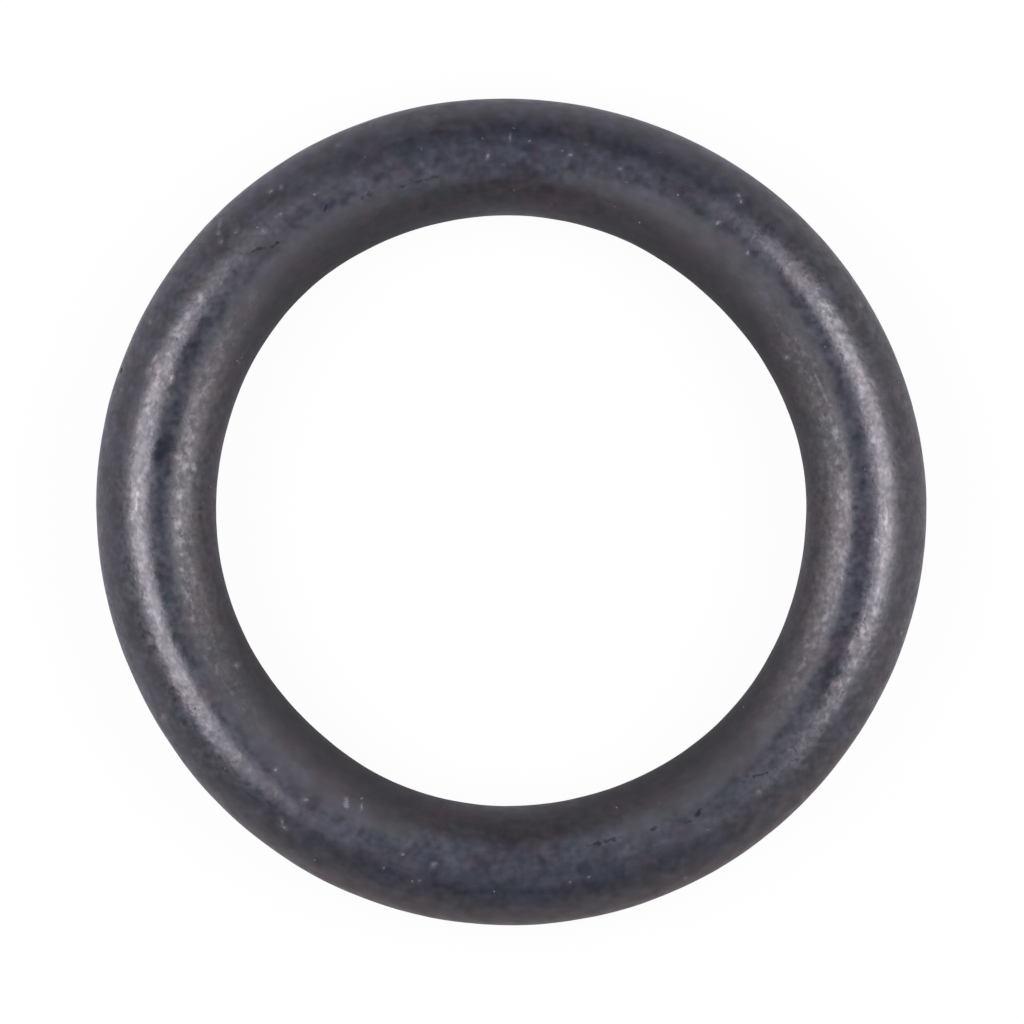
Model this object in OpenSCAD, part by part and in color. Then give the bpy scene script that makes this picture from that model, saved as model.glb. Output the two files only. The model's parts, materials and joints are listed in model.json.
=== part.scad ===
// A rubber o-ring, lying flat. The origin is at the ring's centre, halfway up
// its thickness, and +Z is the ring's axis, so it rests on its lowest circle.
// It is one moulded ring of round section. The two halves of its mould meet
// halfway up, and leave a fine raised line round the inside and the outside.

/* [Ring] */
// Inner diameter of the ring, between the inmost points of its round section
inner_d = 10; // [4:0.5:30]
// Diameter of the round section, and so the thickness of the ring
section_d = 2; // [1:0.1:3.5]

/* [Mould line] */
// Width of the raised mould line, measured along the ring's axis
line_w = 0.12; // [0.06:0.02:0.3]
// How far the mould line stands proud of the round section
line_h = 0.02; // [0.01:0.01:0.05]

/* [Hidden] */
$fn = 180;
// Radius of the circle that the middle of the section runs along
centre_r = inner_d / 2 + section_d / 2;

// The ring's section, drawn about its own centre
module section() {
    circle(d = section_d);
    // the mould line shows on both sides, where this bar passes the circle
    square([section_d + 2 * line_h, line_w], center = true);
}

module o_ring() {
    color("#3a393e")
        rotate_extrude()
            translate([centre_r, 0])
                section();
}

o_ring();
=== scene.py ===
"""A black rubber o-ring, a little worn and dusty, that lies flat and is seen from straight above."""

import json
import math
import random
from types import SimpleNamespace

import bmesh
import bpy
import numpy as np
from mathutils import Matrix, Vector, noise


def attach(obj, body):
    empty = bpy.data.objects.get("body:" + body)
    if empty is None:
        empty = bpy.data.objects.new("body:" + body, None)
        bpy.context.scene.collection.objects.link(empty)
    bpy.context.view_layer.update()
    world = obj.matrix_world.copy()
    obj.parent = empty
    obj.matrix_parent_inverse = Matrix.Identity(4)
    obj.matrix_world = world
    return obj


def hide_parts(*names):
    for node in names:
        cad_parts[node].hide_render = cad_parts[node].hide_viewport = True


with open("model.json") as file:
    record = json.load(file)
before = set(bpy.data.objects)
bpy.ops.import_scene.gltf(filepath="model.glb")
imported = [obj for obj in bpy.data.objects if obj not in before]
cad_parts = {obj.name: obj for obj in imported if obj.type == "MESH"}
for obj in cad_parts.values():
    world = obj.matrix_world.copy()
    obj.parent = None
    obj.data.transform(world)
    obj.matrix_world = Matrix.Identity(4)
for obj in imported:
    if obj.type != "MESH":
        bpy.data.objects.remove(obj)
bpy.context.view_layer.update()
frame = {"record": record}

# Sizes are in metres and angles in degrees, unless a line says otherwise. Angles round the ring run
# anticlockwise from +X, as seen from above.
MM = 0.001

# The ring's round section, worked out from the two seats on its raised mould line
SEATS = {mount["name"]: mount["dims"] for mount in frame["record"]["mounts"]}
LINE_PROUD = 0.02 * MM
LINE_WIDTH = SEATS["shaft_seat"]["length_mm"] * MM
INNER_R = SEATS["shaft_seat"]["r_mm"] * MM + LINE_PROUD
OUTER_R = SEATS["housing_seat"]["r_mm"] * MM - LINE_PROUD
CENTRE_R = (OUTER_R + INNER_R) / 2
SECTION_R = (OUTER_R - INNER_R) / 2
FLOOR_Z = -SECTION_R

# The smoothest and most blotched band of the skin, a little inside the top of the section
BAND_R = CENTRE_R - 0.08 * SECTION_R

# Where the ring stands in the photograph, in its pixels
PHOTO_WIDTH = 1024
RING_CENTRE_PX = (510.3, 510.6)
RING_CENTRE_R_PX = 354.7
METRES_PER_PX = CENTRE_R / RING_CENTRE_R_PX

# The camera is far above, so that there is next to no perspective. Its sensor's width is in millimetres.
CAMERA_HEIGHT = 250 * MM
SENSOR_MM = 36.0

# The two soft panel lamps, which differ in length and place only
PANEL_DISTANCE = 70 * MM
PANEL_WIDTH = 38 * MM
PANEL_POWER = 0.038
ROSY = (1.0, 0.92, 0.99)

# Colours of the sky, from the horizon up
SKY_WHITE, SKY_DIM, SKY_OVERHEAD = (1.0, 1.0, 1.0), (0.175, 0.185, 0.225), (0.20, 0.23, 0.32)

# The floor's size, and how much of what the camera sees of it is even white. The rest is paper, which
# shows the ring's shadow.
FLOOR_SIZE = 1200 * MM
WHITE_SHARE = 0.93
FLOOR_WHITE, PAPER = (1.02, 1.02, 1.02), (0.75, 0.75, 0.75, 1)

# Painted reflection, the greys the floor glows with in the ring's gloss: inside the ring, darker as painted
# shade, and outside it in three directions of the picture
GREY_INSIDE = (0.42, 0.41, 0.47)
GREY_UPPER_LEFT, GREY_LOWER_RIGHT = (0.80, 0.76, 0.89), (0.60, 0.53, 0.58)
GREY_UPPER_RIGHT = (0.74, 0.71, 0.80)

# Out of round, as (lobes, size, angle of a high point): the ring's centre line, and its section's radius
CENTRE_WAVES = [(2, 0.028 * MM, -40), (3, 0.020 * MM, 11), (6, 0.006 * MM, 10)]
SECTION_WAVES = [(2, 0.011 * MM, 27), (3, 0.008 * MM, 27), (6, 0.008 * MM, -12)]

# The crest of the section lies this far inside its middle, as a share of its radius
CREST_SHIFT = 0.035

# Mesh rows round the section, on its upper and lower halves, and columns round the ring
TOP_ROWS = 68
BOTTOM_ROWS = 30
COLUMNS = 940

# Relief of the moulded skin, as (size of a lump, height)
RELIEF = [(1.60 * MM, 0.0090 * MM), (0.55 * MM, 0.0036 * MM), (0.18 * MM, 0.0016 * MM)]

# How proud the worn mould line still is, and its height at its shoulders as a share of that
LINE_LEFT = 0.008 * MM
LINE_SHOULDER = 0.6

# The size of the line's more and less worn stretches, and by what share they differ from its height
WEAR_SIZE, WEAR = 1.2 * MM, 0.6

# The ring's lowest lumps are pressed flat this far above the floor
PRESSED_FLAT = 0.001 * MM

# Marks are placed by their pixels in the photograph, and many are there twice, half a turn apart.

# Shares of its half size up to which a soft mark has its full strength, and from which it has none
MARK_FULL, MARK_NONE = 0.55, 1.35

# Dark smudges: (pixel, length, width, angle of the length, how dark, how dark its twin half a turn on is)
SMUDGES = [
    ((164, 448), 0.56 * MM, 0.23 * MM, 74, 1.0, 0.0),
    ((856, 588), 0.34 * MM, 0.20 * MM, 80, 0.55, 0.0),
    ((192, 350), 0.60 * MM, 0.24 * MM, 60, 0.7, 0.7),
    ((206, 323), 0.28 * MM, 0.20 * MM, 30, 0.6, 0.5),
    ((300, 215), 0.42 * MM, 0.22 * MM, 20, 0.55, 0.3),
    ((161, 510), 0.24 * MM, 0.13 * MM, 90, 0.3, 0.3),
    ((270, 769), 0.22 * MM, 0.10 * MM, 0, 0.4, 0.4),
    ((343, 818), 0.20 * MM, 0.12 * MM, 0, 0.4, 0.15),
    ((362, 829), 0.18 * MM, 0.12 * MM, 60, 0.3, 0.2),
    ((186, 650), 0.22 * MM, 0.12 * MM, 120, 0.3, 0.3),
    ((340, 261), 0.34 * MM, 0.12 * MM, 35, 0.8, 0.5),
    ((434, 872), 0.10 * MM, 0.14 * MM, 90, 0.5, 0.0),
    ((572, 168), 0.14 * MM, 0.14 * MM, 0, 0.5, 0.0),
    ((542, 863), 0.16 * MM, 0.32 * MM, 0, 0.5, 0.0),
    ((582, 868), 0.30 * MM, 0.18 * MM, 30, 0.4, 0.0),
]

# Pale scuffs and grains, which are partly painted glints along the highlights, listed in the same way
SCUFFS_AND_GLINTS = [
    ((141, 481), 0.14 * MM, 0.10 * MM, 80, 0.6, 0.8),
    ((142, 548), 0.30 * MM, 0.16 * MM, 95, 0.25, 0.25),
    ((179, 524), 0.22 * MM, 0.15 * MM, 80, 0.9, 0.3),
    ((180, 541), 0.20 * MM, 0.11 * MM, 80, 0.8, 0.3),
    ((195, 467), 0.16 * MM, 0.10 * MM, 105, 0.8, 0.3),
    ((179, 458), 0.11 * MM, 0.10 * MM, 0, 0.7, 0.3),
    ((188, 429), 0.14 * MM, 0.13 * MM, 0, 0.4, 0.3),
    ((196, 403), 0.16 * MM, 0.11 * MM, 70, 0.5, 0.2),
    ((149, 410), 0.14 * MM, 0.11 * MM, 80, 0.4, 0.4),
    ((156, 397), 0.12 * MM, 0.10 * MM, 70, 0.5, 0.4),
    ((156, 360), 0.24 * MM, 0.08 * MM, 60, 0.7, 0.3),
    ((150, 371), 0.16 * MM, 0.09 * MM, 50, 0.7, 0.3),
    ((180, 329), 0.18 * MM, 0.09 * MM, 65, 0.5, 0.4),
    ((188, 317), 0.14 * MM, 0.11 * MM, 60, 0.5, 0.4),
    ((151, 640), 0.20 * MM, 0.10 * MM, 110, 0.3, 0.4),
]

# Fine creases, drawn only as dark lines of painted shade, and a pale scratch, along these pixels, then the
# width of such a line, how far off its mark can reach, and what a point that is further off holds
CREASE_SHADE_LINES = [
    [(252, 254), (262, 249), (274, 248), (282, 242)],
    [(322, 217), (328, 207), (339, 200)],
    [(358, 202), (367, 196), (379, 193)],
    [(400, 189), (415, 184), (438, 178)],
]
SCRATCHES = [[(139, 492), (137.5, 510)]]
LINE_MARK_WIDTH = 0.055 * MM
LINE_MARK_REACH = 0.15 * MM
FAR_OFF = (0.0, 0.0, 9.0)

# Specks of dust: (pixel, length, width, angle of the length, colour, whether it is there twice)
BRIGHT, FAINT = (0.38, 0.375, 0.39), (0.105, 0.107, 0.118)
PINK, WHITE, STRAW = (0.18, 0.167, 0.178), (0.196, 0.197, 0.211), (0.185, 0.187, 0.175)
DUST = [
    ((121, 371), 0.13 * MM, 0.09 * MM, 70, PINK, True),
    ((122, 390), 0.06 * MM, 0.04 * MM, 70, WHITE, True),
    ((173, 378), 0.13 * MM, 0.06 * MM, 75, BRIGHT, True),
    ((151, 322), 0.08 * MM, 0.06 * MM, 80, PINK, True),
    ((203, 240), 0.06 * MM, 0.06 * MM, 0, WHITE, False),
    ((220, 225), 0.15 * MM, 0.05 * MM, 85, STRAW, True),
    ((219, 234), 0.07 * MM, 0.06 * MM, 0, STRAW, False),
    ((222, 242), 0.07 * MM, 0.06 * MM, 20, WHITE, False),
    ((236, 233), 0.09 * MM, 0.06 * MM, 20, PINK, False),
    ((265, 232), 0.07 * MM, 0.07 * MM, 0, PINK, True),
    ((271, 192), 0.09 * MM, 0.06 * MM, 40, WHITE, False),
    ((282, 188), 0.07 * MM, 0.05 * MM, 80, PINK, False),
    ((280, 216), 0.13 * MM, 0.04 * MM, 40, STRAW, False),
    ((316, 194), 0.09 * MM, 0.04 * MM, 0, FAINT, True),
    ((338, 146), 0.06 * MM, 0.05 * MM, 0, PINK, True),
    ((370, 125), 0.07 * MM, 0.04 * MM, 90, WHITE, True),
    ((396, 176), 0.07 * MM, 0.04 * MM, 80, FAINT, True),
    ((436, 117), 0.06 * MM, 0.05 * MM, 0, FAINT, False),
    ((422, 150), 0.06 * MM, 0.04 * MM, 90, FAINT, False),
    ((422, 166), 0.05 * MM, 0.05 * MM, 0, FAINT, False),
    ((488, 157), 0.09 * MM, 0.05 * MM, 80, WHITE, False),
    ((504, 166), 0.06 * MM, 0.05 * MM, 0, FAINT, False),
    ((510, 139), 0.10 * MM, 0.04 * MM, 85, WHITE, False),
    ((529, 142), 0.07 * MM, 0.06 * MM, 0, FAINT, False),
    ((570, 156), 0.07 * MM, 0.07 * MM, 0, STRAW, False),
    ((562, 152), 0.07 * MM, 0.05 * MM, 0, FAINT, False),
    ((586, 146), 0.06 * MM, 0.05 * MM, 0, FAINT, False),
    ((118, 620), 0.06 * MM, 0.05 * MM, 80, PINK, True),
    ((164, 717), 0.10 * MM, 0.07 * MM, 80, PINK, True),
    ((237, 665), 0.08 * MM, 0.08 * MM, 0, PINK, True),
    ((226, 681), 0.05 * MM, 0.05 * MM, 0, FAINT, True),
    ((276, 769), 0.08 * MM, 0.06 * MM, 60, WHITE, True),
    ((306, 799), 0.12 * MM, 0.07 * MM, 20, PINK, True),
    ((283, 821), 0.11 * MM, 0.06 * MM, 100, PINK, True),
    ((285, 827), 0.08 * MM, 0.06 * MM, 0, PINK, True),
    ((347, 802), 0.11 * MM, 0.05 * MM, 95, BRIGHT, False),
    ((362, 806), 0.10 * MM, 0.03 * MM, 88, WHITE, False),
    ((403, 853), 0.08 * MM, 0.06 * MM, 0, PINK, True),
    ((384, 867), 0.07 * MM, 0.05 * MM, 70, FAINT, False),
    ((434, 863), 0.09 * MM, 0.06 * MM, 20, PINK, False),
    ((420, 880), 0.07 * MM, 0.06 * MM, 0, FAINT, False),
    ((570, 881), 0.06 * MM, 0.06 * MM, 0, FAINT, False),
    ((588, 876), 0.08 * MM, 0.05 * MM, 20, FAINT, False),
]

# Sizes of a flake and of the soft mark round it, as shares of the size that is listed, and the flake's
# thickness as a share of its width
FLAKE_SIZE, HALO_SIZE = 0.85, 1.7
FLAKE_THICKNESS = 0.3

# Finer specks that are strewn at random: how many, their least and most width in millimetres, and the seed
FINE_DUST = 60
FINE_WIDTHS = (0.018, 0.040)
DUST_SEED = 7

# Colours of the rubber, then of what lies on it
BLACK, BROWN = (0.0145, 0.0175, 0.0275), (0.0240, 0.0190, 0.0215)
# the bluish colours on top are a bloom and partly a painted sheen of the light from overhead
BLOOM_AND_SHEEN_AT_ENDS, BLOOM_AND_SHEEN_AT_SIDES = (0.037, 0.042, 0.055), (0.042, 0.045, 0.055)
REDDISH, GREENISH = (0.034, 0.019, 0.024), (0.014, 0.025, 0.026)
# DEEP_BLACK is for dark smudges and blotches, and for painted shade along the creases
DEEP_BLACK = (0.003, 0.005, 0.006)
DUST_FILM = (0.069, 0.061, 0.059)
# pale colours of the painted highlight, which are streaks where the lamps' highlights fall
HIGHLIGHT_STROKE, RED_HIGHLIGHT_STROKE, GREEN_HIGHLIGHT_STROKE = (0.157, 0.150, 0.172), (0.205, 0.145, 0.158), (0.125, 0.170, 0.148)
# the scuffs' pale colour is partly a painted glint
SCUFF_AND_GLINT_COLOUR, SCRATCHED = (0.34, 0.315, 0.33), (0.38, 0.355, 0.37)

# Bump, as the size and the height of its grains and of the coarser pebbles
GRAIN_SIZE, GRAIN_HEIGHT = 0.11 * MM, 0.0045 * MM
PEBBLE_SIZE, PEBBLE_HEIGHT = 0.17 * MM, 0.0034 * MM

# Roughness of the rubber on top, on the outer flank and where it is least, and of the dust
ROUGH_TOP, ROUGH_FLANK, SMOOTHEST = 0.32, 0.47, 0.14
ROUGH_DUST = 0.7


def across(share):
    """The radius at this share of the way from the section's middle to its outer wall. Below 0 is inward."""
    return CENTRE_R + share * SECTION_R


def direction(polar, azimuth):
    """The unit vector at this angle from straight up, turned this far round from +X."""
    p, a = math.radians(polar), math.radians(azimuth)
    return Vector((math.sin(p) * math.cos(a), math.sin(p) * math.sin(a), math.cos(p)))


def from_pixel(pixel):
    """The point of the picture's plane that is at this pixel, with its origin at the ring's centre."""
    return (
        (pixel[0] - RING_CENTRE_PX[0]) * METRES_PER_PX,
        (RING_CENTRE_PX[1] - pixel[1]) * METRES_PER_PX,
    )


def half_turn(pixel):
    """The pixel half a turn on, about the middle of the photograph."""
    return tuple(PHOTO_WIDTH - 1 - p for p in pixel)


def add_object(name, data):
    made = bpy.data.objects.new(name, data)
    bpy.context.scene.collection.objects.link(made)
    return made


# Shader nodes


def new_material(name):
    mat = bpy.data.materials.new(name)
    mat.use_nodes = True
    return mat, mat.node_tree


def add(tree, kind, values=None, **settings):
    """A new node with these settings. Each of its inputs takes a value or is linked to a socket."""
    made = tree.nodes.new(kind)
    for name, value in settings.items():
        setattr(made, name, value)
    for key, value in (values or {}).items():
        if isinstance(value, bpy.types.NodeSocket):
            tree.links.new(value, made.inputs[key])
        else:
            made.inputs[key].default_value = value
    return made


def maths(tree, operation, *values):
    return add(tree, "ShaderNodeMath", dict(enumerate(values)), operation=operation).outputs[0]


def product(tree, first, *others):
    for other in others:
        first = maths(tree, "MULTIPLY", first, other)
    return first


def scaled(tree, vector, factor):
    values = {0: vector, "Scale": factor}
    return add(tree, "ShaderNodeVectorMath", values, operation="SCALE").outputs["Vector"]


def vector_sum(tree, first, second):
    values = {0: first, 1: second}
    return add(tree, "ShaderNodeVectorMath", values, operation="ADD").outputs["Vector"]


def ramp(tree, value, start, end, low=0.0, high=1.0):
    """Turns a value that runs from start to end into one that runs smoothly from low to high."""
    values = {"Value": value, "From Min": start, "From Max": end, "To Min": low, "To Max": high}
    return add(tree, "ShaderNodeMapRange", values, interpolation_type="SMOOTHSTEP").outputs["Result"]


def blend_colours(tree, factor, first, second):
    values = {"Factor": factor, "A": first, "B": second}
    values = {k: (*v, 1.0) if isinstance(v, tuple) else v for k, v in values.items()}
    return add(tree, "ShaderNodeMix", values, data_type="RGBA").outputs["Result"]


def lumps(tree, place, size, detail=2.0, roughness=0.5):
    """Soft noise from 0 to 1 whose lumps are about this size."""
    values = {"Vector": place, "Scale": 1 / size, "Detail": detail, "Roughness": roughness}
    return add(tree, "ShaderNodeTexNoise", values).outputs["Fac"]


def even_lumps(tree, place, size, detail=2.0, roughness=0.5):
    """The same noise, about 0."""
    return maths(tree, "SUBTRACT", lumps(tree, place, size, detail, roughness), 0.5)


def painted(tree, name, output="Fac"):
    """What the mesh holds under this name."""
    return add(tree, "ShaderNodeAttribute", attribute_name=name).outputs[output]


def axis_distance(tree, place):
    """The place without its height, and how far it is from the ring's axis."""
    values = {0: place, 1: (1, 1, 0)}
    flat = add(tree, "ShaderNodeVectorMath", values, operation="MULTIPLY").outputs["Vector"]
    return flat, add(tree, "ShaderNodeVectorMath", {0: flat}, operation="LENGTH").outputs["Value"]


# Camera and light


def make_camera():
    data = bpy.data.cameras.new("camera")
    data.sensor_width = SENSOR_MM
    data.lens = SENSOR_MM * CAMERA_HEIGHT / (PHOTO_WIDTH * METRES_PER_PX)
    camera = add_object("camera", data)
    camera.location = (*from_pixel((PHOTO_WIDTH / 2, PHOTO_WIDTH / 2)), CAMERA_HEIGHT)
    bpy.context.scene.camera = camera


def make_panel(name, polar, azimuth, roll, length):
    """A soft panel lamp that faces the ring, its long side turned by roll from +Y."""
    data = bpy.data.lights.new(name, "AREA")
    data.shape = "RECTANGLE"
    data.size, data.size_y = PANEL_WIDTH, length
    data.energy = PANEL_POWER
    data.color = ROSY
    towards = direction(polar, azimuth)
    along = direction(90, 90 + roll)
    along = (along - along.dot(towards) * towards).normalized()
    turn = Matrix((along.cross(towards), along, towards)).transposed()
    lamp = add_object(name, data)
    lamp.matrix_world = Matrix.Translation(towards * PANEL_DISTANCE) @ turn.to_4x4()
    lamp.visible_camera = False


def make_lamps():
    make_panel("right_panel", polar=44.5, azimuth=2.5, roll=26, length=68 * MM)
    make_panel("left_panel", polar=41, azimuth=180.5, roll=19, length=69 * MM)


def make_world():
    """A dim sky, white at the horizon and bluish overhead."""
    world = bpy.data.worlds.new("world")
    bpy.context.scene.world = world
    world.use_nodes = True
    tree = world.node_tree
    place = add(tree, "ShaderNodeTexCoord").outputs["Generated"]
    height = add(tree, "ShaderNodeSeparateXYZ", {"Vector": place}).outputs["Z"]
    risen = ramp(tree, height, 0.04, 0.08)
    overhead = ramp(tree, height, 0.70, 0.98)
    dim = blend_colours(tree, overhead, SKY_DIM, SKY_OVERHEAD)
    sky = blend_colours(tree, risen, SKY_WHITE, dim)
    tree.links.new(sky, tree.nodes["Background"].inputs["Color"])


# Floor


def painted_reflection_greys(tree):
    """Painted reflection: the grey that the floor glows with in the ring's gloss, from place to place,
    darker inside the ring as painted shade.
    """
    place = add(tree, "ShaderNodeTexCoord").outputs["Object"]
    from_axis = axis_distance(tree, place)[1]
    x, y = add(tree, "ShaderNodeSeparateXYZ", {"Vector": place}).outputs[:2]
    outside = ramp(tree, from_axis, 0.9 * INNER_R, OUTER_R)
    lower_right = ramp(tree, maths(tree, "SUBTRACT", x, y), -1.2 * CENTRE_R, 1.2 * CENTRE_R)
    upper_right = ramp(tree, maths(tree, "ADD", x, y), 0.2 * CENTRE_R, 1.1 * CENTRE_R)
    far_grey = blend_colours(tree, lower_right, GREY_UPPER_LEFT, GREY_LOWER_RIGHT)
    far_grey = blend_colours(tree, upper_right, far_grey, GREY_UPPER_RIGHT)
    return blend_colours(tree, outside, GREY_INSIDE, far_grey)


def floor_material():
    """White paper. The camera sees it as even white with a faint shadow, and the ring mirrors it as a
    painted reflection, in glowing greys that are darker inside the ring.
    """
    mat, tree = new_material("floor")
    tree.nodes.clear()
    path = add(tree, "ShaderNodeLightPath").outputs
    mirrored = maths(tree, "MAXIMUM", path["Is Glossy Ray"], path["Is Transmission Ray"])
    share = maths(tree, "MULTIPLY_ADD", path["Is Camera Ray"], WHITE_SHARE, mirrored)
    # painted reflection: in the ring's gloss the floor glows in greys set by place, not in its own lit
    # colour
    colour = blend_colours(tree, path["Is Camera Ray"], painted_reflection_greys(tree), FLOOR_WHITE)
    white = add(tree, "ShaderNodeEmission", {"Color": colour})
    paper = add(tree, "ShaderNodeBsdfDiffuse", {"Color": PAPER})
    mix = add(tree, "ShaderNodeMixShader", {"Fac": share, 1: paper.outputs[0], 2: white.outputs[0]})
    add(tree, "ShaderNodeOutputMaterial", {"Surface": mix.outputs[0]})
    return mat


def make_floor():
    half = FLOOR_SIZE / 2
    corners = [(x * half, y * half, FLOOR_Z) for x, y in ((-1, -1), (1, -1), (1, 1), (-1, 1))]
    mesh = bpy.data.meshes.new("floor")
    mesh.from_pydata(corners, [], [(0, 1, 2, 3)])
    mesh.materials.append(floor_material())
    add_object("floor", mesh)


# Shape of the ring's skin


def section_rows():
    """For each row of the mesh, its angle round the section and its share of the raised mould line.

    The angle is in radians, from the outermost point.
    """
    edge = math.asin(LINE_WIDTH / 2 / SECTION_R)
    crest = edge / 2
    rows = []
    for start, count in ((0, TOP_ROWS), (math.pi, BOTTOM_ROWS)):
        rows += [(start, 1.0), (start + crest, LINE_SHOULDER)]
        rows += [(start + edge + (math.pi - 2 * edge) * k / (count - 1), 0.0) for k in range(count)]
        rows += [(start + math.pi - crest, LINE_SHOULDER)]
    return rows


def wave(waves, angle):
    return sum(size * math.cos(lobes * (angle - math.radians(high))) for lobes, size, high in waves)


def skin_point(angle, turn, line=0.0):
    """A point of the skin and the way out there.

    It is at this angle round the ring and at this turn round its section, both in radians, and line is
    its share of the mould line.
    """
    around = Vector((math.cos(angle), math.sin(angle), 0))
    centre_r = CENTRE_R + wave(CENTRE_WAVES, angle)
    half_width = SECTION_R + wave(SECTION_WAVES, angle)
    half_height = SECTION_R + wave(SECTION_WAVES, angle) / 2
    outward = around * math.cos(turn) + Vector((0, 0, math.sin(turn)))
    place = around * (centre_r + half_width * math.cos(turn))
    place.z = FLOOR_Z + half_height * (1 + math.sin(turn))
    lift = sum(height * noise.noise(place / size) for size, height in RELIEF)
    lift -= CREST_SHIFT * SECTION_R * math.cos(turn) * math.sin(turn) ** 2
    wear = 1 + WEAR * noise.noise(place / WEAR_SIZE)
    place += outward * (lift + line * wear * LINE_LEFT)
    place.z = max(place.z, FLOOR_Z + PRESSED_FLAT)
    return place, outward


def skin_at(pixel):
    """The point of the upper skin that the photograph shows at this pixel, and the way out there."""
    x, y = from_pixel(pixel)
    angle = math.atan2(y, x)
    sideways = math.hypot(x, y) - CENTRE_R - wave(CENTRE_WAVES, angle)
    sideways /= SECTION_R + wave(SECTION_WAVES, angle)
    outmost = 0.97
    return skin_point(angle, math.acos(max(-outmost, min(outmost, sideways))))


def bake_map(mesh, rows, strips=3):
    """Lays the skin out flat as a few strips, one above the other, so that it fills a square map."""
    layer = mesh.uv_layers.new(name="OFBake")
    per_strip = COLUMNS / strips
    margin = 0.004
    for face in mesh.polygons:
        column, row = divmod(face.index, rows)
        strip = min(int(column / per_strip), strips - 1)
        for loop, (du, dv) in zip(face.loop_indices, ((0, 0), (1, 0), (1, 1), (0, 1))):
            u = (column - strip * per_strip + du) / (per_strip + 1)
            v = (row + dv) / rows
            layer.data[loop].uv = (
                margin + (1 - 2 * margin) * u,
                (strip + margin + (1 - 2 * margin) * v) / strips,
            )


# Marks, as values that the skin's points hold


def rise(values, start, end):
    """Runs evenly from 0 at start to 1 at end."""
    return np.clip((values - start) / (end - start), 0, 1)


def dust_halos():
    """A soft mark, larger and fainter, for each listed speck of dust."""
    for pixel, length, width, tilt, colour, twice in DUST:
        strength = 2 * colour[0]
        yield pixel, HALO_SIZE * length, HALO_SIZE * width, tilt, strength, strength * twice


def mark_amount(points, listed):
    """How strong the listed soft marks are at each point, from 0 to 1. They fade out down the flanks."""
    strength = np.zeros(len(points))
    for pixel, length, width, tilt, here, at_twin in listed:
        c, s = math.cos(math.radians(tilt)), math.sin(math.radians(tilt))
        for turned, amount in ((pixel, here), (half_turn(pixel), at_twin)):
            x, y = from_pixel(turned)
            dx, dy = points[:, 0] - x, points[:, 1] - y
            away = np.hypot((dx * c + dy * s) / (length / 2), (dy * c - dx * s) / (width / 2))
            strength = np.maximum(strength, amount * rise(away, MARK_NONE, MARK_FULL))
    return strength * rise(points[:, 2] / SECTION_R, 0.1, 0.4)


def line_place(points, lines):
    """Each point's place by the nearest line: from -1 to 1 along it, across it, and past its ends.

    The last two are in half widths.
    """
    place = np.tile(FAR_OFF, (len(points), 1))
    nearest = np.full(len(points), LINE_MARK_REACH)
    for pixels in [way for line in lines for way in (line, [half_turn(p) for p in line])]:
        corners = [np.array(from_pixel(p)) for p in pixels]
        total = sum(np.linalg.norm(b - a) for a, b in zip(corners, corners[1:]))
        before = 0.0
        for a, b in zip(corners, corners[1:]):
            length = np.linalg.norm(b - a)
            along = (b - a) / length
            dx, dy = (points[:, :2] - a).T
            reach = dx * along[0] + dy * along[1]
            sideways = dy * along[0] - dx * along[1]
            beyond = np.abs(reach - np.clip(reach, 0, length))
            away = np.hypot(sideways, beyond)
            closer = (away < nearest) & (points[:, 2] > 0)
            nearest = np.where(closer, away, nearest)
            here = np.stack([
                2 * (before + reach) / total - 1,
                sideways / (LINE_MARK_WIDTH / 2),
                beyond / (LINE_MARK_WIDTH / 2),
            ], axis=1)
            place = np.where(closer[:, None], here, place)
            before += length
    return place


def dullness(points):
    """How dull each point is: the inner side, except at the far left and right, and less the outer one."""
    angle = np.degrees(np.arctan2(points[:, 1], points[:, 0]))
    angle = (angle + 90) % 180 - 90
    # along the picture's rising diagonal, and along its falling one
    rising = rise(angle, -2, 32) * rise(angle, 88, 63)
    falling = rise(angle, -10, -44) * rise(angle, -88, -63)
    radius = np.hypot(points[:, 0], points[:, 1])
    inward = rise(radius, across(0), across(-0.25))
    outward = rise(radius, across(0.7), across(0.4))
    return np.maximum(np.maximum(rising, falling) * inward, 0.25 * falling * outward)


def make_skin(material):
    rows = section_rows()
    count = len(rows)
    angles = [math.tau * column / COLUMNS for column in range(COLUMNS)]
    points = np.array([skin_point(angle, turn, line)[0] for angle in angles for turn, line in rows])
    faces = []
    for column in range(COLUMNS):
        here, after = column * count, (column + 1) % COLUMNS * count
        for row in range(count):
            up = (row + 1) % count
            faces.append((here + row, after + row, after + up, here + up))
    mesh = bpy.data.meshes.new("ring_skin")
    mesh.from_pydata(points.tolist(), [], faces)
    mesh.shade_smooth()
    bake_map(mesh, count)
    marks = {
        "smudge": mark_amount(points, SMUDGES),
        "scuff_and_glint": mark_amount(points, [*SCUFFS_AND_GLINTS, *dust_halos()]),
        "dull": dullness(points),
    }
    for name, values in marks.items():
        mesh.attributes.new(name, "FLOAT", "POINT").data.foreach_set("value", values)
    for name, lines in {"crease_shade": CREASE_SHADE_LINES, "scratch": SCRATCHES}.items():
        values = line_place(points, lines).ravel()
        mesh.attributes.new(name, "FLOAT_VECTOR", "POINT").data.foreach_set("vector", values)
    mesh.materials.append(material)
    skin = add_object("ring_skin", mesh)
    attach(skin, "root")
    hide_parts("o_ring")


# Rubber, in layers that share where on the ring a point is


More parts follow.
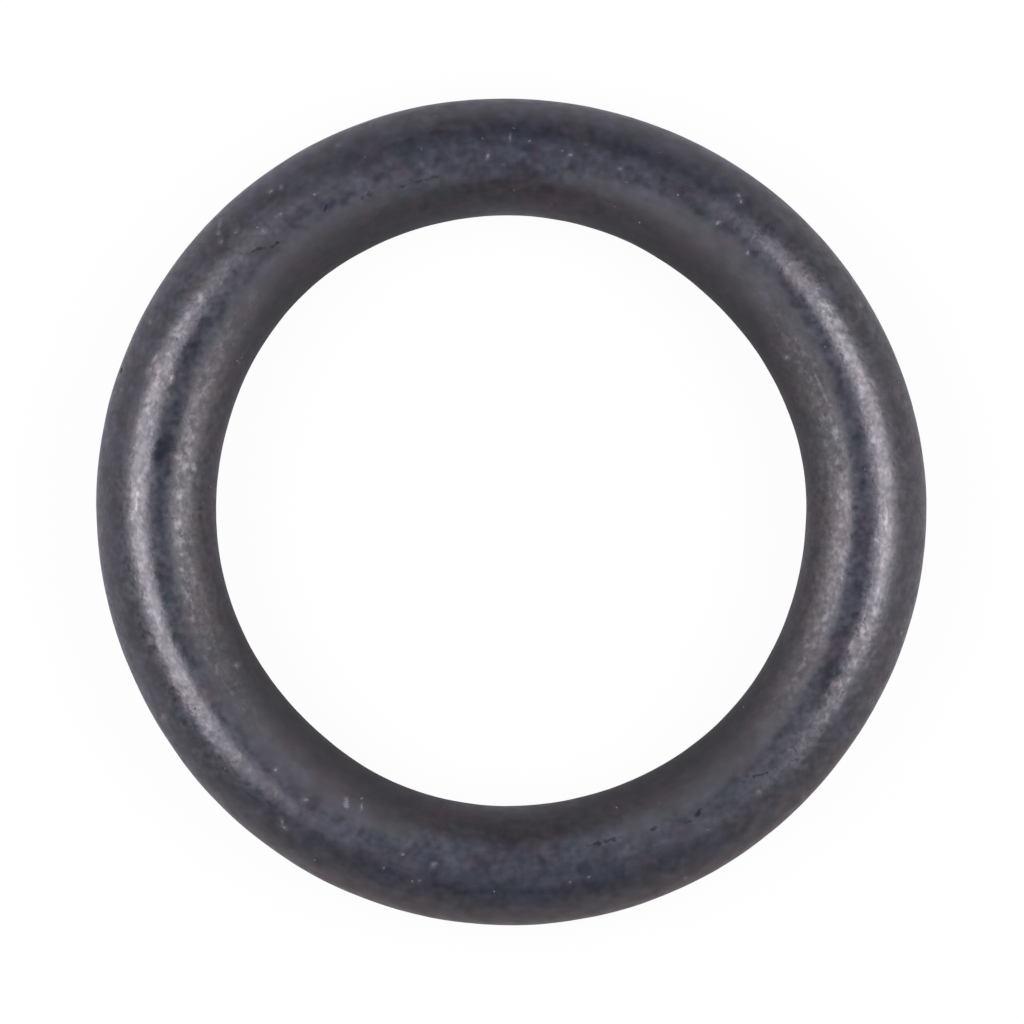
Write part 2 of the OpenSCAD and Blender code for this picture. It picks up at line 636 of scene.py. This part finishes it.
def ring_places(tree):
    """Coordinates, distances, and shares from 0 to 1 of some regions, for all the layers."""
    at = SimpleNamespace()
    at.place = add(tree, "ShaderNodeTexCoord").outputs["Object"]
    flat, at.from_axis = axis_distance(tree, at.place)
    at.side = add(tree, "ShaderNodeVectorMath", {0: flat}, operation="NORMALIZE").outputs["Vector"]
    at.upward = add(tree, "ShaderNodeCombineXYZ", {"Z": at.from_axis}).outputs["Vector"]
    at.x, at.y, z = add(tree, "ShaderNodeSeparateXYZ", {"Vector": at.place}).outputs
    at.off_middle = maths(tree, "ABSOLUTE", at.x)
    at.from_band = maths(tree, "ABSOLUTE", maths(tree, "SUBTRACT", at.from_axis, BAND_R))
    at.on_top = ramp(tree, z, 0.87 * SECTION_R, 0.98 * SECTION_R)
    at.sides = ramp(tree, at.off_middle, 0.55 * CENTRE_R, 0.95 * CENTRE_R)
    at.off_band = ramp(tree, at.from_band, 0.12 * SECTION_R, 0.30 * SECTION_R)
    at.dull = painted(tree, "dull")
    ragged = even_lumps(tree, at.place, 0.5 * MM, 5.0, 0.6)
    at.ragged_r = maths(tree, "MULTIPLY_ADD", ragged, 0.9 * MM, at.from_axis)
    at.inside = ramp(tree, at.ragged_r, across(-0.24), across(-0.42))
    return at


def stretched(tree, at, share):
    """A place for noise that runs along the ring, in longer streaks the smaller this share is."""
    return vector_sum(tree, scaled(tree, at.side, share * CENTRE_R), at.upward)


def line_distance(tree, name):
    """How far the nearest line of this name is, in half widths, and a little more towards its ends."""
    line = painted(tree, name, "Vector")
    along, sideways, past = add(tree, "ShaderNodeSeparateXYZ", {"Vector": line}).outputs
    away = maths(tree, "MAXIMUM", maths(tree, "ABSOLUTE", sideways), past)
    return maths(tree, "MULTIPLY_ADD", product(tree, along, along), 0.7, away)


def stained_rubber(tree, at):
    """Brown inside the ring, in patches, and on the outer flank away from the upper left."""
    outside = ramp(tree, at.ragged_r, across(0.55), across(0.95))
    lower_right = ramp(tree, maths(tree, "SUBTRACT", at.x, at.y), -0.6 * CENTRE_R, 0.6 * CENTRE_R)
    outside = product(tree, outside, lower_right)
    patches = ramp(tree, lumps(tree, at.place, 0.8 * MM, 3.0), 0.42, 0.70, 0.0, 0.6)
    brown = maths(tree, "MAXIMUM", maths(tree, "MAXIMUM", at.inside, outside), patches)
    return blend_colours(tree, brown, BLACK, BROWN)


def with_bloom_and_sheen(tree, at, rubber):
    """A bluish bloom on top, in patches, with faint scratches across the section. It is partly a painted
    sheen, which makes the top lighter and bluer as if lit from overhead.
    """
    patches = ramp(tree, lumps(tree, at.place, 0.40 * MM, 1.5), 0.35, 0.68, 0.6, 1.0)
    lines = scaled(tree, at.side, CENTRE_R)
    scratches = ramp(tree, lumps(tree, lines, 0.07 * MM, 1.0), 0.45, 0.75, 0.87, 1.08)
    bloom_and_sheen = product(tree, at.on_top, patches, scratches)
    return blend_colours(tree, bloom_and_sheen, rubber, blend_colours(tree, at.sides, BLOOM_AND_SHEEN_AT_ENDS, BLOOM_AND_SHEEN_AT_SIDES))


def with_dust_film(tree, at, rubber):
    """A film of dust inside, at the far left and right."""
    near_band = ramp(tree, at.from_band, 0.92 * SECTION_R, 0.50 * SECTION_R)
    far = ramp(tree, at.off_middle, 0.62 * CENTRE_R, 0.97 * CENTRE_R)
    return blend_colours(tree, product(tree, at.inside, near_band, far), rubber, DUST_FILM)


def tint_patches(tree, at):
    """Where the reddish and the greenish patches are.

    They are fainter on the outer side towards the top and the bottom of the picture.
    """
    outer = ramp(tree, at.from_axis, across(0.10), across(0.40))
    ends = maths(tree, "SUBTRACT", 1.0, at.sides)
    strength = maths(tree, "MULTIPLY_ADD", product(tree, outer, ends), -0.5, 1.0)
    elsewhere = vector_sum(tree, at.place, (0.02, 0.01, 0.03))
    for place in (at.place, elsewhere):
        patches = ramp(tree, lumps(tree, place, 0.60 * MM, 3.0), 0.48, 0.68, 0.0, 0.6)
        yield product(tree, patches, strength)


def shade(tree, at, grain, blotches):
    """Uneven light and dark: grains, clouds, fine rings round the axis, and blotches on the outer flank."""
    clouds = even_lumps(tree, at.place, 0.26 * MM, 1.0, 0.6)
    cloudy = ramp(tree, at.from_axis, across(0.35), across(0.55), 1.3, 3.0)
    clouds = maths(tree, "MAXIMUM", maths(tree, "MULTIPLY_ADD", clouds, cloudy, 1.0), 0.2)
    rings = ramp(tree, lumps(tree, stretched(tree, at, 0.12), 0.07 * MM, 1.0), 0.3, 0.7, 0.9, 1.1)
    grains = maths(tree, "MULTIPLY_ADD", grain, 2.2, 1.0)
    flank = ramp(tree, at.from_axis, across(0.40), across(0.55))
    on_flank = maths(tree, "MULTIPLY_ADD", product(tree, blotches, flank, at.sides), -0.8, 1.0)
    dulled = maths(tree, "MULTIPLY_ADD", at.dull, -0.3, 1.0)
    return product(tree, grains, clouds, rings, on_flank, dulled)


def painted_highlight_strokes(tree, at):
    """Painted highlight: fine pale streaks along the ring, on both sides of the band, at the far left and
    right, where the lamps' highlights fall.
    """
    highlight_strokes = ramp(tree, lumps(tree, stretched(tree, at, 0.55), 0.10 * MM, 2.0, 0.6), 0.48, 0.70)
    lit = product(tree, at.off_band, ramp(tree, at.from_band, 0.62 * SECTION_R, 0.42 * SECTION_R))
    return product(tree, highlight_strokes, lit, maths(tree, "POWER", at.sides, 2.0))


def with_scuffs_and_glints(tree, rubber, torn, broken):
    """Pale scuffs, which are partly painted glints along the highlights, soft marks round the specks of
    dust, and a scratch.
    """
    scuff_and_glint = maths(tree, "POWER", painted(tree, "scuff_and_glint"), 1.5)
    scuff_and_glint = product(tree, scuff_and_glint, ramp(tree, torn, 0.3, 0.7, 0.3, 1.2))
    # pale scuffs, which are partly painted glints
    rubber = blend_colours(tree, scuff_and_glint, rubber, SCUFF_AND_GLINT_COLOUR)
    scratch = maths(tree, "MULTIPLY_ADD", broken, 3.0, line_distance(tree, "scratch"))
    return blend_colours(tree, ramp(tree, scratch, 3.2, 1.5, 0.0, 0.9), rubber, SCRATCHED)


def dark_marks(tree, at, torn, broken, blotches):
    """How dark the smudges, the painted shade along the creases and the blotches of the band are."""
    smudge = product(tree, painted(tree, "smudge"), maths(tree, "MULTIPLY_ADD", torn, 1.2, 0.4))
    # painted shade along the creases, which have no relief in the mesh
    crease_shade = maths(tree, "MULTIPLY_ADD", broken, 6.0, line_distance(tree, "crease_shade"))
    crease_shade = ramp(tree, crease_shade, 4.3, 2.8, 0.0, 0.85)
    in_band = ramp(tree, at.from_band, 0.36 * SECTION_R, 0.14 * SECTION_R, 0.0, 0.5)
    blotches = product(tree, blotches, in_band)
    dark = maths(tree, "MAXIMUM", maths(tree, "MAXIMUM", smudge, crease_shade), blotches)
    return maths(tree, "MINIMUM", dark, 1.0)


def roughness(tree, at, grainy, highlight_strokes, dark):
    """Duller on the inner side and on the outer flank, and uneven in a fine grain."""
    gloss = ramp(tree, lumps(tree, at.place, 0.22 * MM, 1.0, 0.6), 0.3, 0.7, -0.05, 0.05)
    fine = even_lumps(tree, at.place, 0.075 * MM, 0.0)
    gloss = maths(tree, "MULTIPLY_ADD", product(tree, fine, grainy), 0.26, gloss)
    gloss = maths(tree, "MULTIPLY_ADD", highlight_strokes, -0.05, gloss)
    base = ramp(tree, at.from_axis, across(0.34), across(0.60), ROUGH_TOP, ROUGH_FLANK)
    deep = ramp(tree, at.from_axis, across(-0.55), across(-0.85), 0.0, 0.7)
    inner = maths(tree, "MAXIMUM", product(tree, at.inside, at.sides), deep)
    rough = maths(tree, "ADD", gloss, maths(tree, "MULTIPLY_ADD", inner, 0.15, base))
    rough = maths(tree, "MULTIPLY_ADD", at.dull, 0.30, rough)
    return maths(tree, "MAXIMUM", maths(tree, "MULTIPLY_ADD", dark, -0.15, rough), SMOOTHEST)


def bump(tree, at, grain):
    height = product(tree, lumps(tree, at.place, PEBBLE_SIZE, 1.0), PEBBLE_HEIGHT)
    height = maths(tree, "MULTIPLY_ADD", grain, GRAIN_HEIGHT, height)
    return add(tree, "ShaderNodeBump", {"Height": height, "Distance": 1.0, "Strength": 1.0})


def rubber_material():
    """Dull black rubber: bluish on top with a painted sheen, browner inside, with a fine grain, marks, a
    film of dust, painted highlights and glints, and painted shade along the creases.
    """
    mat, tree = new_material("rubber")
    at = ring_places(tree)

    # grains, which show most at the far left and right, and noise that the marks share
    grainy = product(tree, at.sides, maths(tree, "MULTIPLY_ADD", at.off_band, 0.5, 0.5))
    grain = even_lumps(tree, at.place, GRAIN_SIZE, 1.0)
    grain = product(tree, grain, maths(tree, "MULTIPLY_ADD", grainy, 0.8, 0.28))
    blotches = ramp(tree, lumps(tree, at.place, 0.45 * MM, 2.5, 0.6), 0.50, 0.70)
    torn = lumps(tree, at.place, 0.12 * MM, 2.0, 0.6)
    broken = lumps(tree, at.place, 0.08 * MM, 1.0)

    # the bluish top is partly a painted sheen
    rubber = with_dust_film(tree, at, with_bloom_and_sheen(tree, at, stained_rubber(tree, at)))
    red, green = tint_patches(tree, at)
    rubber = blend_colours(tree, red, rubber, REDDISH)
    rubber = blend_colours(tree, green, rubber, GREENISH)
    rubber = scaled(tree, rubber, shade(tree, at, grain, blotches))

    # painted highlight: pale streaks where the lamps' highlights fall at the far left and right
    highlight_strokes = painted_highlight_strokes(tree, at)
    highlight_stroke = blend_colours(tree, red, HIGHLIGHT_STROKE, RED_HIGHLIGHT_STROKE)
    highlight_stroke = blend_colours(tree, green, highlight_stroke, GREEN_HIGHLIGHT_STROKE)
    rubber = blend_colours(tree, product(tree, highlight_strokes, 0.8), rubber, highlight_stroke)
    # pale scuffs, which are partly painted glints, and a scratch
    rubber = with_scuffs_and_glints(tree, rubber, torn, broken)
    dark = dark_marks(tree, at, torn, broken, blotches)
    # dark smudges and blotches, and painted shade along the creases
    rubber = blend_colours(tree, product(tree, dark, 0.85), rubber, DEEP_BLACK)

    shader = tree.nodes["Principled BSDF"]
    shader.inputs["Specular IOR Level"].default_value = 1.0
    tree.links.new(rubber, shader.inputs["Base Color"])
    tree.links.new(roughness(tree, at, grainy, highlight_strokes, dark), shader.inputs["Roughness"])
    tree.links.new(bump(tree, at, grain).outputs["Normal"], shader.inputs["Normal"])
    return mat


# Dust


def add_speck(form, rng, spot, length, width, tilt, colour):
    """A small irregular flake, half sunk into the skin. Its spot is a point there and the way out of it."""
    point, outward = spot
    along = direction(90, tilt)
    along = (along - along.dot(outward) * outward).normalized()
    turn = Matrix((along, outward.cross(along), outward)).transposed()
    thick = FLAKE_THICKNESS * min(length, width)
    shift = Vector((rng.uniform(0, 100), rng.uniform(0, 100), rng.uniform(0, 100)))
    lightness = rng.uniform(0.75, 1.1)
    tint = form.verts.layers.float_color["tint"]
    for vert in bmesh.ops.create_icosphere(form, subdivisions=2, radius=0.5)["verts"]:
        lumpy = vert.co * (1 + 0.7 * noise.noise(vert.co * 2.2 + shift))
        vert.co = point + turn @ Vector((lumpy.x * length, lumpy.y * width, lumpy.z * thick))
        vert[tint] = (*(c * lightness for c in colour), 1)


def listed_dust(form, rng):
    for pixel, length, width, tilt, colour, twice in DUST:
        for turned in (pixel, half_turn(pixel)) if twice else (pixel,):
            add_speck(form, rng, skin_at(turned), FLAKE_SIZE * length, FLAKE_SIZE * width, tilt, colour)


def strewn_dust(form, rng):
    for _ in range(FINE_DUST):
        angle, turn = rng.uniform(0, math.tau), math.radians(rng.uniform(25, 155))
        width = rng.uniform(*FINE_WIDTHS) * MM
        colour = rng.choice((PINK, FAINT))
        length = width * rng.uniform(1, 1.8)
        tilt = rng.uniform(0, 180)
        add_speck(form, rng, skin_point(angle, turn), length, width, tilt, colour)


def dust_material():
    mat, tree = new_material("dust")
    place = add(tree, "ShaderNodeTexCoord").outputs["Object"]
    uneven = ramp(tree, lumps(tree, place, 0.05 * MM), 0.3, 0.7, 0.55, 1.1)
    shader = tree.nodes["Principled BSDF"]
    shader.inputs["Roughness"].default_value = ROUGH_DUST
    tree.links.new(scaled(tree, painted(tree, "tint", "Color"), uneven), shader.inputs["Base Color"])
    return mat


def make_dust():
    rng = random.Random(DUST_SEED)
    form = bmesh.new()
    form.verts.layers.float_color.new("tint")
    listed_dust(form, rng)
    strewn_dust(form, rng)
    mesh = bpy.data.meshes.new("dust_specks")
    form.to_mesh(mesh)
    form.free()
    mesh.shade_smooth()
    mesh.materials.append(dust_material())
    dust = add_object("dust_specks", mesh)
    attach(dust, "root")


make_camera()
make_lamps()
make_world()
make_floor()
make_skin(rubber_material())
make_dust()
bpy.context.scene.view_settings.view_transform = "Standard"
